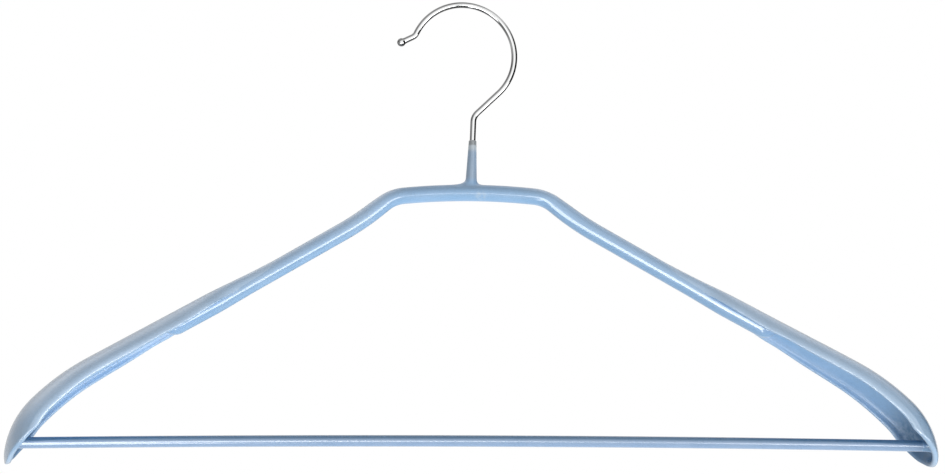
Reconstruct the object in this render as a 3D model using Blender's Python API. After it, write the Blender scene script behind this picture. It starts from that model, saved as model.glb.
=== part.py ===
# Coated steel coat hanger with broad shoulders: a bent tube, a pressed shell lapped over each
# end of it, a trouser bar between the shells, and a wire hook that stands in the crown.
# Metres and degrees, +Z up, +X to the right arm. The origin is the seat of the hook, where a
# rail touches the inside of its loop.

from math import asin, ceil, cos, pi, radians, sin, sqrt

import bmesh
import bpy
import numpy as np
from mathutils import Matrix, Vector

# Fits
GAP = 0.0003
BOND = 0.0001
OVERRUN = 0.0040

# Hook, one wire with a ball upset on its tip
WIRE_DIA = 0.0027
BALL_DIA = 0.0038
TIP_RUN = 0.0056
TIP_RISE = 25.6
TIP_RADIUS = 0.0040
LOOP_RADIUS = 0.0233
LOOP_BACK = 64.0
LOOP_FRONT = 137.0
THROAT_RUN = 0.0134
THROAT_RADIUS = 0.0060
STEM_RUN = 0.0326
STEM_LEAN = 3.0
STEM_OFFSET = 0.0008

# Tube, from the middle of the crown to the end of an arm
TUBE_DIA = 0.0081
TUBE_WALL = 0.0010
CROWN_RADIUS = 0.2960
CROWN_FALL = 5.7
BEND_RADIUS = 0.0179
NECK_FALL = 37.1
NECK_RUN = 0.0073
SWEEP_RADIUS = 0.1260
ARM_FALL = 29.9
ARM_RUN = 0.0518
LAP_FALL = 28.7
LAP_RUN = 0.0385
END_DOME = 0.0030

# Shoulder shells, along the ridge of the inner face from the root on the tube to the toe
SHELL_WALL = 0.0012
SHELL_EDGE = 0.0004
FEATHER_RUN = 0.0220
RIDGE_RUN = 0.0755
SHOULDER_RADIUS = 0.1116
SHOULDER_TURN = 15.7
FALL_RADIUS = 0.0389
FALL_TURN = 36.6
TOE_RADIUS = 0.0137
TOE_TURN = 25.5
ARCH_HALF = 0.0210
ARCH_DROP = 0.0087
ROOT_HALF = 0.0033
SPREAD_RUN = 0.1150
ROOT_ROUND = 0.0070
TOE_ROUND = 0.0189

# Trouser bar, and the weld fillets at its ends
BAR_DIA = 0.0051
BAR_TOE_RUN = 0.0093
BAR_BOW = 0.0016
FILLET_RUN = 0.0045
FILLET_EDGE = 0.0003
FILLET_SPREAD = 0.0018

# Weld bead and coating round the foot of the hook, measured up the stem from the tube's axis
BEAD_DIA = 0.0044
BEAD_RISE = 0.0014
SLEEVE_RISE = 0.0240
SLEEVE_TOP_DIA = 0.0034
SLEEVE_NECK_DIA = 0.0049
FLARE_RISE = 0.0062
FLARE_REACH = 0.0092
FLARE_DEPTH = 0.0068
FLARE_FOOT = 0.0026
FLARE_SHIFT_SHARE = 0.3

# Facets
WIRE_SIDES = 16
TUBE_SIDES = 24
BORE_SIDES = 16
BAR_SIDES = 20
SLEEVE_SIDES = 24
ARCH_COLUMNS = 16
ARCH_ROWS = 14
CAP_STEPS = 6
RIM_STEPS = 4
TUBE_STEP = 4.5
BORE_STEP = 6.5
WIRE_STEP = 7.5
SHARP_ANGLE = 40.0

WIRE_RADIUS = WIRE_DIA / 2
BALL_RADIUS = BALL_DIA / 2
TUBE_RADIUS = TUBE_DIA / 2
BORE_RADIUS = TUBE_RADIUS - TUBE_WALL
SEAT_RADIUS = TUBE_RADIUS + GAP
ROOT_DROP = SEAT_RADIUS - sqrt(SEAT_RADIUS ** 2 - ROOT_HALF ** 2)
BAR_RADIUS = BAR_DIA / 2


def run(length):
    return length, 0.0


def bend(radius, degrees):
    return radius * radians(abs(degrees)), radians(degrees)


def path_length(moves):
    return sum(length for length, turn in moves)


# Point and heading at a distance along runs and bends in the XZ plane.
def walk(start, heading, moves, distance):
    point = Vector(start)
    for length, turn in moves:
        part = min(distance / length, 1.0)
        middle = heading + turn * part / 2
        chord = length * part * float(np.sinc(turn * part / (2 * pi)))
        point += Vector((chord * cos(middle), 0.0, chord * sin(middle)))
        heading += turn * part
        distance -= length
        if distance <= 0.0:
            break
    return point, heading


# Distances of the rings of a sweep: the ends of each run, and each bend in equal steps.
def stations(moves, step):
    marks = [0.0]
    for length, turn in moves:
        pieces = max(1, ceil(abs(turn) / radians(step)))
        marks += [marks[-1] + length * (index + 1) / pieces for index in range(pieces)]
    return marks


# Ellipse square to a heading in the XZ plane, with one half axis along Y.
def ring(centre, heading, half_depth, half_height, sides):
    up = Vector((-sin(heading), 0.0, cos(heading)))
    points = []
    for index in range(sides):
        angle = 2 * pi * index / sides
        points.append(centre + Vector((0.0, half_depth * cos(angle), 0.0)) + up * half_height * sin(angle))
    return points


# Mesh object with its origin at an anchor. Without a material it is a cutter.
def add_object(name, bm, anchor, material):
    bmesh.ops.recalc_face_normals(bm, faces=bm.faces)
    bm.transform(Matrix.Translation(-anchor))
    mesh = bpy.data.meshes.new(name)
    bm.to_mesh(mesh)
    bm.free()
    mesh.shade_smooth()
    mesh.set_sharp_from_angle(angle=radians(SHARP_ANGLE))
    obj = bpy.data.objects.new(name, mesh)
    obj.location = anchor
    obj.parent = hanger
    bpy.context.scene.collection.objects.link(obj)
    if material is None:
        obj.hide_render = True
        obj.display_type = "WIRE"
    else:
        mesh.materials.append(material)
    return obj


# Closed solid through rings of equal count, with flat ends.
def loft(name, rings, anchor, material=None):
    bm = bmesh.new()
    loops = [[bm.verts.new(point) for point in points] for points in rings]
    for first, second in zip(loops, loops[1:]):
        for index in range(len(first)):
            after = (index + 1) % len(first)
            bm.faces.new((first[index], first[after], second[after], second[index]))
    bm.faces.new(loops[0])
    bm.faces.new(loops[-1])
    return add_object(name, bm, anchor, material)


def cut(target, cutter):
    modifier = target.modifiers.new("cut " + cutter.name, "BOOLEAN")
    modifier.operation = "DIFFERENCE"
    modifier.solver = "EXACT"
    modifier.object = cutter


def principled(name, colour, metallic, roughness):
    material = bpy.data.materials.new(name)
    material.use_nodes = True
    shader = material.node_tree.nodes["Principled BSDF"]
    shader.inputs["Base Color"].default_value = (*colour, 1.0)
    shader.inputs["Metallic"].default_value = metallic
    shader.inputs["Roughness"].default_value = roughness
    return material


# Routes. The hook runs from the ball on its tip over the loop and down the stem to the tube's
# axis, the tube from the middle of the crown to one end, and a shell's ridge from root to toe.
HOOK_MOVES = [
    run(TIP_RUN),
    bend(TIP_RADIUS, LOOP_BACK - TIP_RISE),
    bend(LOOP_RADIUS, -LOOP_BACK - LOOP_FRONT),
    run(THROAT_RUN),
    bend(THROAT_RADIUS, LOOP_FRONT - 90.0 - STEM_LEAN),
    run(STEM_RUN),
]
ARM_MOVES = [
    bend(CROWN_RADIUS, -CROWN_FALL),
    bend(BEND_RADIUS, CROWN_FALL - NECK_FALL),
    run(NECK_RUN),
    bend(SWEEP_RADIUS, NECK_FALL - ARM_FALL),
    run(ARM_RUN),
    bend(SWEEP_RADIUS, ARM_FALL - LAP_FALL),
    run(LAP_RUN),
]
RIDGE_MOVES = [
    run(RIDGE_RUN),
    bend(SHOULDER_RADIUS, -SHOULDER_TURN),
    bend(FALL_RADIUS, -FALL_TURN),
    bend(TOE_RADIUS, -TOE_TURN),
]
ARM_LENGTH = path_length(ARM_MOVES)
RIDGE_LENGTH = path_length(RIDGE_MOVES)

# The ball lies where it brings the crown of the loop over the origin, half a wire above it. The
# stem stands a little to the right of the middle of the tube's crown.
CROWN_MOVES = HOOK_MOVES[:2] + [bend(LOOP_RADIUS, -LOOP_BACK)]
LOOP_CROWN = walk((0.0, 0.0, 0.0), radians(TIP_RISE), CROWN_MOVES, path_length(CROWN_MOVES))[0]
BALL = Vector((0.0, 0.0, WIRE_RADIUS)) - LOOP_CROWN
FOOT, STEM_HEADING = walk(BALL, radians(TIP_RISE), HOOK_MOVES, path_length(HOOK_MOVES))
CROWN = FOOT - Vector((STEM_OFFSET, 0.0, 0.0))
STEM_UP = Vector((-cos(STEM_HEADING), 0.0, -sin(STEM_HEADING)))


def mirrored(point):
    return Vector((2 * CROWN.x - point.x, point.y, point.z))


# Ring of the tube at a distance from the crown, negative on the left arm.
def arm_ring(distance, radius, sides):
    point, heading = walk(CROWN, 0.0, ARM_MOVES, abs(distance))
    if distance < 0.0:
        point = mirrored(point)
        heading = -heading
    return ring(point, heading, radius, radius, sides)


# Rings of a tube with domed ends, which stop an inset short of the arms' ends.
def domed_rings(radius, inset, sides, step):
    dome = END_DOME - inset
    half = [(mark, radius) for mark in stations(ARM_MOVES, step)[:-1]]
    for index in range(CAP_STEPS):
        angle = pi / 2 * (CAP_STEPS - index) / CAP_STEPS
        half.append((ARM_LENGTH - END_DOME + dome * cos(angle), radius * sin(angle)))
    full = [(-mark, size) for mark, size in reversed(half[1:])] + half
    return [arm_ring(mark, size, sides) for mark, size in full]


def make_arm_tube(material):
    tube = loft("arm_tube", domed_rings(TUBE_RADIUS, 0.0, TUBE_SIDES, TUBE_STEP), CROWN, material)
    bore = loft("tube_bore", domed_rings(BORE_RADIUS, TUBE_WALL, BORE_SIDES, BORE_STEP), CROWN)
    cut(tube, bore)
    return tube


# Wire with a ball, from the ball's far side to a gap above the floor of the tube's bore.
def make_hook(material):
    rings = []
    shoulder = pi - asin(WIRE_RADIUS / BALL_RADIUS)
    first = asin(WIRE_RADIUS / BALL_RADIUS) / 4
    for index in range(CAP_STEPS + 1):
        angle = first + (shoulder - first) * index / CAP_STEPS
        point, heading = walk(BALL, radians(TIP_RISE), HOOK_MOVES, -BALL_RADIUS * cos(angle))
        size = BALL_RADIUS * sin(angle)
        rings.append(ring(point, heading, size, size, WIRE_SIDES))
    for mark in stations(HOOK_MOVES, WIRE_STEP)[1:-1]:
        point, heading = walk(BALL, radians(TIP_RISE), HOOK_MOVES, mark)
        rings.append(ring(point, heading, WIRE_RADIUS, WIRE_RADIUS, WIRE_SIDES))
    floor = sqrt(BORE_RADIUS ** 2 - WIRE_RADIUS ** 2) - GAP
    rings.append(ring(FOOT - STEM_UP * floor, STEM_HEADING, WIRE_RADIUS, WIRE_RADIUS, WIRE_SIDES))
    return loft("hook_wire", rings, Vector((0.0, 0.0, 0.0)), material)


# Rings square to the stem, from (rise, half depth, half reach, shift along X) rows.
def stem_rings(rows, sides):
    across = Vector((-STEM_UP.z, 0.0, STEM_UP.x))
    return [ring(FOOT + STEM_UP * rise + across * shift, STEM_HEADING, depth, reach, sides)
            for rise, depth, reach, shift in rows]


# Round rows of the weld bead: a convex collar that stands on the tube round the stem.
def bead_rows(clearance):
    base = BEAD_DIA / 2
    rows = [(0.0, base + clearance, base + clearance, 0.0)]
    for index in range(CAP_STEPS):
        angle = pi / 2 * index / CAP_STEPS
        size = WIRE_RADIUS + (base - WIRE_RADIUS) * cos(angle) + clearance
        rows.append((SEAT_RADIUS + (BEAD_RISE + clearance) * sin(angle), size, size, 0.0))
    return rows


# Rows of the coating on the stem: a taper, then a flare that runs out along the tube.
def sleeve_rows():
    neck = SLEEVE_NECK_DIA / 2
    rows = [(SLEEVE_RISE, SLEEVE_TOP_DIA / 2, SLEEVE_TOP_DIA / 2, 0.0)]
    rises = []
    for index in range(CAP_STEPS):
        angle = pi / 2 * index / CAP_STEPS
        rise = FLARE_RISE - (FLARE_RISE - SEAT_RADIUS) * sin(angle)
        rises.append((rise, (FLARE_REACH - neck) * (1 - cos(angle))))
    lowest = rises[-1]
    rises += [((lowest[0] + FLARE_FOOT) / 2, lowest[1]), (FLARE_FOOT, lowest[1])]
    for rise, spread in rises:
        share = (FLARE_RISE - rise) / (FLARE_RISE - FLARE_FOOT)
        depth = neck + (FLARE_DEPTH / 2 - neck) * share ** 2
        rows.append((rise, depth, neck + spread, spread * FLARE_SHIFT_SHARE))
    return rows


def make_hook_foot(tube, weld_material, coat_material):
    bore = WIRE_RADIUS + BOND
    bore_rows = [(0.0, bore, bore, 0.0), (SLEEVE_RISE + OVERRUN, bore, bore, 0.0)]
    stem_bore = loft("stem_bore", stem_rings(bore_rows, WIRE_SIDES), FOOT)
    reach = FLARE_REACH + OVERRUN
    seat_marks = [-reach, -reach / 2, 0.0, reach / 2, reach]
    seat = loft("tube_seat", [arm_ring(mark, SEAT_RADIUS, TUBE_SIDES) for mark in seat_marks], CROWN)
    bead_room = loft("bead_room", stem_rings(bead_rows(BOND), WIRE_SIDES), FOOT)
    bead = loft("hook_weld", stem_rings(bead_rows(0.0), WIRE_SIDES), FOOT, weld_material)
    sleeve = loft("stem_sleeve", stem_rings(sleeve_rows(), SLEEVE_SIDES), FOOT, coat_material)
    cut(tube, stem_bore)
    for piece in (bead, sleeve):
        cut(piece, seat)
        cut(piece, stem_bore)
    cut(sleeve, bead_room)


# Start of a shell's ridge: the top of the tube where the lap run begins, with the gap above it.
LAP_START, LAP_HEADING = walk(CROWN, 0.0, ARM_MOVES, ARM_LENGTH - LAP_RUN)
ROOT = LAP_START + SEAT_RADIUS * Vector((-sin(LAP_HEADING), 0.0, cos(LAP_HEADING)))


# Half ellipse of a shell's inner face: its half width, its drop from ridge to rim and the angle
# that the rim reaches. It opens from the tube to the shoulder, where the rim hangs straight down,
# and the rim draws in to the rounded root and toe.
def arch(distance):
    growth = sin(pi / 2 * min(distance / SPREAD_RUN, 1.0))
    half = ROOT_HALF + (ARCH_HALF - ROOT_HALF) * growth
    drop = ROOT_DROP + (ARCH_DROP - ROOT_DROP) * growth
    root = max(0.0, 1 - distance / ROOT_ROUND)
    toe = max(0.0, 1 - (RIDGE_LENGTH - distance) / TOE_ROUND)
    return half, drop, asin(sqrt(max(0.0, 1 - max(root, toe) ** 2)))


def wall(distance):
    share = min(distance / FEATHER_RUN, 1.0)
    return SHELL_EDGE + (SHELL_WALL - SHELL_EDGE) * share * share * (3 - 2 * share)


# Point of a shell and the outward direction there, at a share from rim (-1) to rim (1) and a
# height above the inner face.
def arch_point(distance, share, height):
    ridge, heading = walk(ROOT, LAP_HEADING, RIDGE_MOVES, distance)
    up = Vector((-sin(heading), 0.0, cos(heading)))
    half, drop, edge = arch(distance)
    angle = edge * share
    out = (up * half * cos(angle) + Vector((0.0, drop * sin(angle), 0.0))).normalized()
    inner = ridge - up * drop * (1 - cos(angle)) + Vector((0.0, half * sin(angle), 0.0))
    return inner + out * height, out


# Distances of the rows: close together in the rounded root and toe, even between them.
def shell_rows():
    root = [ROOT_ROUND * (1 - cos(pi / 2 * index / CAP_STEPS)) for index in range(CAP_STEPS)]
    middle = RIDGE_LENGTH - ROOT_ROUND - TOE_ROUND
    even = [ROOT_ROUND + middle * index / ARCH_ROWS for index in range(ARCH_ROWS)]
    turns = 2 * CAP_STEPS
    toe = [RIDGE_LENGTH - TOE_ROUND * (1 - sin(pi / 2 * index / turns)) for index in range(turns + 1)]
    return root + even + toe


# Closed shell between two heights above the arched inner face, with a rounded rim. Each
# height is a function of the distance from the root.
def shell(name, side, lower, upper, anchor, material=None):
    bm = bmesh.new()
    place = (lambda point: point) if side > 0 else mirrored
    rows = shell_rows()
    ends = (0, len(rows) - 1)

    def face_grid(height):
        grid = []
        for index, distance in enumerate(rows):
            shares = [0.0] if index in ends else [2 * k / ARCH_COLUMNS - 1 for k in range(ARCH_COLUMNS + 1)]
            points = [arch_point(distance, share, height(distance))[0] for share in shares]
            grid.append([bm.verts.new(place(point)) for point in points])
        for first, second in zip(grid, grid[1:]):
            for k in range(ARCH_COLUMNS):
                corners = []
                for row, column in ((first, k), (first, k + 1), (second, k + 1), (second, k)):
                    corner = row[min(column, len(row) - 1)]
                    if corner not in corners:
                        corners.append(corner)
                bm.faces.new(corners)
        return grid

    inner = face_grid(lower)
    outer = face_grid(upper)

    # The rim goes from the root to the toe on one side and back on the other.
    path = [(index, 1.0, -1) for index in range(len(rows))]
    path += [(index, -1.0, 0) for index in range(len(rows) - 2, 0, -1)]
    middles = []
    for index, share, column in path:
        distance = rows[index]
        middles.append(arch_point(distance, share, (lower(distance) + upper(distance)) / 2))
    chains = []
    for number, (index, share, column) in enumerate(path):
        point, out = middles[number]
        along = middles[(number + 1) % len(path)][0] - middles[number - 1][0]
        across = along.cross(out).normalized()
        half = (upper(rows[index]) - lower(rows[index])) / 2
        chain = [outer[index][column]]
        for step in range(1, RIM_STEPS):
            angle = pi * step / RIM_STEPS
            chain.append(bm.verts.new(place(point + half * (out * cos(angle) + across * sin(angle)))))
        chain.append(inner[index][column])
        chains.append(chain)
    for first, second in zip(chains, chains[1:] + chains[:1]):
        for step in range(RIM_STEPS):
            bm.faces.new((first[step], first[step + 1], second[step + 1], second[step]))
    return add_object(name, bm, anchor, material)


# The bar lands on the ridge, a run short of the toe's end.
BAR_LANDING, LANDING_HEADING = walk(ROOT, LAP_HEADING, RIDGE_MOVES, RIDGE_LENGTH - BAR_TOE_RUN)
BAR_HALF = BAR_LANDING.x - CROWN.x


# Centre and heading of the bar at a distance from its middle: a shallow upward bow.
def bar_centre(offset):
    rise = BAR_BOW * (1 - (offset / BAR_HALF) ** 2)
    slope = -2 * BAR_BOW * offset / BAR_HALF ** 2
    return Vector((CROWN.x + offset, 0.0, BAR_LANDING.z + rise)), slope


def bar_rings(radius):
    end = BAR_HALF + OVERRUN / 2
    offsets = [end * (index / CAP_STEPS - 1) for index in range(2 * CAP_STEPS + 1)]
    return [ring(*bar_centre(offset), radius, radius, BAR_SIDES) for offset in offsets]


# Rings of a weld fillet: it leaves the bar and spreads until it lies flat to the shell.
def fillet_rings(side):
    rings = []
    tilt = LANDING_HEADING + pi / 2
    for index in range(CAP_STEPS + 2):
        angle = pi / 2 * min(index / CAP_STEPS, 1.0)
        offset = BAR_HALF - FILLET_RUN * (1 - sin(angle)) + (OVERRUN / 2 if index > CAP_STEPS else 0.0)
        centre, slope = bar_centre(offset)
        radius = BAR_RADIUS + FILLET_EDGE + FILLET_SPREAD * (1 - cos(angle))
        points = ring(centre, slope + (tilt - slope) * (1 - cos(angle)), radius, radius, BAR_SIDES)
        rings.append(points if side > 0 else [mirrored(point) for point in points])
    return rings


def make_shells_and_bar(shell_material, bar_material, weld_material):
    middle = bar_centre(0.0)[0]
    bar = loft("trouser_bar", bar_rings(BAR_RADIUS), middle, bar_material)
    bar_bore = loft("bar_bore", bar_rings(BAR_RADIUS + BOND), middle)
    for side, word in ((-1, "left"), (1, "right")):
        root = ROOT if side > 0 else mirrored(ROOT)
        landing = BAR_LANDING if side > 0 else mirrored(BAR_LANDING)
        shell("shoulder_shell_" + word, side, lambda distance: 0.0, wall, root, shell_material)
        room = shell("shell_room_" + word, side, lambda distance: -GAP, lambda distance: OVERRUN, root)
        weld = loft("bar_weld_" + word, fillet_rings(side), landing, weld_material)
        cut(bar, room)
        cut(weld, room)
        cut(weld, bar_bore)


for leftover in list(bpy.data.objects):
    bpy.data.objects.remove(leftover, do_unlink=True)

hanger = bpy.data.objects.new("hanger", None)
bpy.context.scene.collection.objects.link(hanger)

coat_blue = (0.36, 0.55, 0.76)
arm_tube = make_arm_tube(principled("tube_coat", coat_blue, 0.0, 0.30))
make_hook(principled("chrome", (0.80, 0.80, 0.81), 1.0, 0.08))
make_hook_foot(arm_tube, principled("weld_steel", (0.42, 0.42, 0.44), 1.0, 0.55),
               principled("sleeve_coat", coat_blue, 0.0, 0.34))
make_shells_and_bar(principled("shell_coat", coat_blue, 0.0, 0.28),
                    principled("bar_coat", (0.30, 0.46, 0.68), 0.0, 0.26),
                    principled("fillet_coat", coat_blue, 0.0, 0.32))
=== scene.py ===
# Looks of the coated steel coat hanger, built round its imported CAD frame. Metres, +Z up,
# +X to the right arm, the origin at the seat of the hook.
from math import cos, pi, radians, sin

import bmesh
import bpy
import numpy as np
from mathutils import Matrix, Vector


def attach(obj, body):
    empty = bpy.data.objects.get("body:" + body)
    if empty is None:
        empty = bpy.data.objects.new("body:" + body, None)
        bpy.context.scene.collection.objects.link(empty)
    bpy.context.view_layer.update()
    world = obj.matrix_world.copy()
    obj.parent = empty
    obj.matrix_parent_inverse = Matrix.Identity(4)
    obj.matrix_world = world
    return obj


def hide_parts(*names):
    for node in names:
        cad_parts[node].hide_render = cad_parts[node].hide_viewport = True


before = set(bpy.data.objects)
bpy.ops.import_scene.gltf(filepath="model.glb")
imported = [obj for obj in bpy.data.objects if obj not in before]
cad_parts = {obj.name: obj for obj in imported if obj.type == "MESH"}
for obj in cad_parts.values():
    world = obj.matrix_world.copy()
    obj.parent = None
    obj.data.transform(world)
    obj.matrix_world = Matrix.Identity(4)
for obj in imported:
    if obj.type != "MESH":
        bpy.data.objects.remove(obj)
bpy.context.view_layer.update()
print("frame loaded:", len(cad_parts), "nodes")


# Routes and grids that the pieces share.
def run(length):
    return length, 0.0


def bend(radius, degrees):
    return radius * radians(abs(degrees)), radians(degrees)


def routeLength(moves):
    return sum(length for length, turn in moves)


# Runs and bends in the XZ plane. Up to each distance a move adds its chord, laid at the heading
# of its middle. Distances below zero go straight back from the start.
def alongRoute(start, heading, moves, distances):
    left = np.array(distances, float)
    x = np.full(left.shape, start[0], float)
    z = np.full(left.shape, start[1], float)
    headings = np.full(left.shape, heading, float)
    lowest = -np.inf
    for length, turn in moves:
        part = np.clip(left / length, lowest, 1.0)
        turned = turn * np.maximum(part, 0.0)
        chord = length * part * np.sinc(turned / (2 * pi))
        x += chord * np.cos(headings + turned / 2)
        z += chord * np.sin(headings + turned / 2)
        headings = headings + turned
        left = left - length
        lowest = 0.0
    return np.stack([x, np.zeros_like(x), z], -1), headings


def upFrom(headings):
    return np.stack([-np.sin(headings), np.zeros_like(headings), np.cos(headings)], -1)


def smooth(value, low, high):
    share = np.clip((value - low) / (high - low), 0.0, 1.0)
    return share * share * (3 - 2 * share)


# Ellipses square to a route: the centre, plus half the depth along Y times the cosine and half
# the height along the route's up times the sine of the angle round it.
def ringGrid(centres, headings, halfDepth, halfHeight, sides):
    angle = np.arange(sides) * 2 * pi / sides
    depth = np.broadcast_to(halfDepth, headings.shape)[:, None] * np.cos(angle)
    height = np.broadcast_to(halfHeight, headings.shape)[:, None] * np.sin(angle)
    across = np.array([0.0, 1.0, 0.0])
    return centres[:, None] + depth[..., None] * across + height[..., None] * upFrom(headings)[:, None]


# Piece from a grid of closed rows. Rows that shrink to a point, or fold onto themselves, are
# welded shut. Marks are values at the grid's points, which the piece's material reads.
def gridPiece(name, grid, material, slot, replaced, **marks):
    rows, columns = grid.shape[:2]
    index = np.arange(rows * columns).reshape(rows, columns)
    beside = np.roll(index, -1, 1)
    quads = np.stack([index[:-1], beside[:-1], beside[1:], index[1:]], -1).reshape(-1, 4)
    mesh = bpy.data.meshes.new(name)
    mesh.from_pydata(grid.reshape(-1, 3), [], quads)
    for mark, values in marks.items():
        layer = mesh.attributes.new(mark, "FLOAT", "POINT")
        layer.data.foreach_set("value", np.broadcast_to(values, (rows, columns)).ravel().astype(np.float32))
    bm = bmesh.new()
    bm.from_mesh(mesh)
    bmesh.ops.remove_doubles(bm, verts=bm.verts, dist=1e-7)
    bmesh.ops.recalc_face_normals(bm, faces=bm.faces)
    bm.to_mesh(mesh)
    bm.free()
    mesh.shade_smooth()
    mesh.materials.append(material)
    piece = bpy.data.objects.new(name, mesh)
    bpy.context.scene.collection.objects.link(piece)
    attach(piece, "root")
    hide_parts(replaced)
    return piece


# Closed curves through four rows of points: the weights of a cubic Bezier curve carry the first row
# over to the last, and leave and reach them along the two between.
def bezierRows(first, leave, reach, last, steps):
    share = np.linspace(0.0, 1.0, steps)[:, None, None]
    return ((1 - share) ** 3 * first + 3 * (1 - share) ** 2 * share * leave
            + 3 * (1 - share) * share ** 2 * reach + share ** 3 * last)


def pointRow(point, sides):
    return np.broadcast_to(np.array(point, float), (1, sides, 3))


# Nodes: an input is set, or linked where it is another node's output.
def addNode(tree, kind, inputs=None, **settings):
    made = tree.nodes.new("ShaderNode" + kind)
    for key, value in settings.items():
        setattr(made, key, value)
    for key, value in (inputs or {}).items():
        if isinstance(value, bpy.types.NodeSocket):
            tree.links.new(value, made.inputs[key])
        else:
            made.inputs[key].default_value = value
    return made


def calc(tree, operation, *values):
    return addNode(tree, "Math", dict(enumerate(values)), operation=operation).outputs[0]


# Smooth step of a value between two limits, from one result to another.
def fade(tree, value, low, high, start=0.0, end=1.0):
    inputs = {"Value": value, "From Min": low, "From Max": high, "To Min": start, "To Max": end}
    return addNode(tree, "MapRange", inputs, interpolation_type="SMOOTHSTEP").outputs[0]


def mixColour(tree, share, first, second):
    node = addNode(tree, "Mix", {0: share, 6: first, 7: second}, data_type="RGBA")
    return node.outputs[2]


def noise(tree, place, size, detail=1.0):
    return addNode(tree, "TexNoise", {"Vector": place, "Scale": 1 / size, "Detail": detail}).outputs[0]


def objectPlace(tree):
    return addNode(tree, "TexCoord").outputs["Object"]


def mark(tree, name):
    return addNode(tree, "Attribute", attribute_name=name).outputs["Fac"]


# Spot round a point of the object: 1 within the first radius, 0 past the second.
def spot(tree, place, centre, radii):
    apart = addNode(tree, "VectorMath", {0: place, 1: centre}, operation="DISTANCE").outputs["Value"]
    return fade(tree, apart, *radii, 1.0, 0.0)


def newGroup(name, inputs, outputs):
    group = bpy.data.node_groups.new(name, "ShaderNodeTree")
    for label, kind in inputs:
        group.interface.new_socket(label, in_out="INPUT", socket_type="NodeSocket" + kind)
    for label, kind in outputs:
        group.interface.new_socket(label, in_out="OUTPUT", socket_type="NodeSocket" + kind)
    return group, group.nodes.new("NodeGroupInput").outputs, group.nodes.new("NodeGroupOutput").inputs


skinResults = (("Colour", "Color"), ("Roughness", "Float"), ("Height", "Float"))


# Dipped coat: fine flakes, cloudy thickness, a few specks, orange peel, and scuffs that pale and dull
# it. Its value is 1 plus the clouds plus the flakes, each less its middle and times its strength.
def makeCoatSkin():
    group, given, result = newGroup("coatSkin", (
        ("Colour", "Color"), ("Roughness", "Float"), ("Flakes", "Float"), ("Clouds", "Float"),
        ("Peel", "Float"), ("Scuff", "Float")), skinResults)
    place = objectPlace(group)
    cells = addNode(group, "TexVoronoi", {"Vector": place, "Scale": 1 / coat["flakeSize"]})
    flake = addNode(group, "SeparateColor", {0: cells.outputs["Color"]}).outputs[0]
    grain = calc(group, "SUBTRACT", flake, 0.5)
    cloud = calc(group, "SUBTRACT", noise(group, place, coat["cloudSize"], coat["cloudDetail"]), 0.5)
    value = calc(group, "ADD", calc(group, "MULTIPLY_ADD", cloud, given["Clouds"], 1.0),
                 calc(group, "MULTIPLY", grain, given["Flakes"]))
    greying = calc(group, "MULTIPLY", given["Clouds"], -coat["cloudGrey"])
    shade = addNode(group, "HueSaturation", {
        "Color": given["Colour"], "Value": value,
        "Saturation": calc(group, "MULTIPLY_ADD", cloud, greying, 1.0)})
    specks = addNode(group, "TexVoronoi", {"Vector": place, "Scale": 1 / coat["speckSpacing"]})
    chance = addNode(group, "SeparateColor", {0: specks.outputs["Color"]}).outputs[1]
    disc = fade(group, specks.outputs["Distance"], *coat["speckFade"], 1.0, 0.0)
    speck = calc(group, "MULTIPLY", calc(group, "LESS_THAN", chance, coat["speckShare"]), disc)
    grit = noise(group, place, coat["scuffGrain"], coat["scuffDetail"])
    rubbed = calc(group, "MULTIPLY", given["Scuff"], fade(group, grit, *coat["scuffFade"]))
    worn = mixColour(group, calc(group, "MULTIPLY", rubbed, coat["scuffPale"]), shade.outputs[0],
                     coat["scuffColour"])
    marked = mixColour(group, calc(group, "MULTIPLY", speck, coat["speckDark"]), worn, coat["speckColour"])
    group.links.new(marked, result["Colour"])
    dull = calc(group, "ADD", calc(group, "MULTIPLY_ADD", cloud, coat["cloudRough"], given["Roughness"]),
                calc(group, "MULTIPLY_ADD", rubbed, coat["scuffRough"],
                     calc(group, "MULTIPLY", grain, coat["grainRough"])))
    group.links.new(dull, result["Roughness"])
    ripple = calc(group, "MULTIPLY", noise(group, place, coat["peelSize"]), given["Peel"])
    pits = calc(group, "MULTIPLY", speck, -coat["speckDepth"])
    group.links.new(calc(group, "ADD", ripple, pits), result["Height"])
    return group


# Metal: clouds in the finish and hairlines, both of which change its roughness.
def makeMetalSkin():
    group, given, result = newGroup("metalSkin", (
        ("Colour", "Color"), ("Roughness", "Float"), ("Clouds", "Float"), ("Hairline", "Float")), skinResults)
    place = objectPlace(group)
    cloud = calc(group, "SUBTRACT", noise(group, place, metal["cloudSize"], metal["cloudDetail"]), 0.5)
    hair = calc(group, "SUBTRACT", noise(group, place, metal["hairSize"], metal["hairDetail"]), 0.5)
    shade = addNode(group, "HueSaturation", {
        "Color": given["Colour"], "Value": calc(group, "MULTIPLY_ADD", cloud, given["Clouds"], 1.0)})
    group.links.new(shade.outputs[0], result["Colour"])
    cloudy = calc(group, "MULTIPLY", given["Roughness"], metal["cloudRough"])
    rough = calc(group, "ADD", calc(group, "MULTIPLY_ADD", cloud, cloudy, given["Roughness"]),
                 calc(group, "MULTIPLY", hair, given["Hairline"]))
    group.links.new(calc(group, "MAXIMUM", rough, metal["leastRough"]), result["Roughness"])
    depth = calc(group, "MULTIPLY", given["Hairline"], metal["hairDepth"])
    group.links.new(calc(group, "MULTIPLY", hair, depth), result["Height"])
    return group


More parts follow.
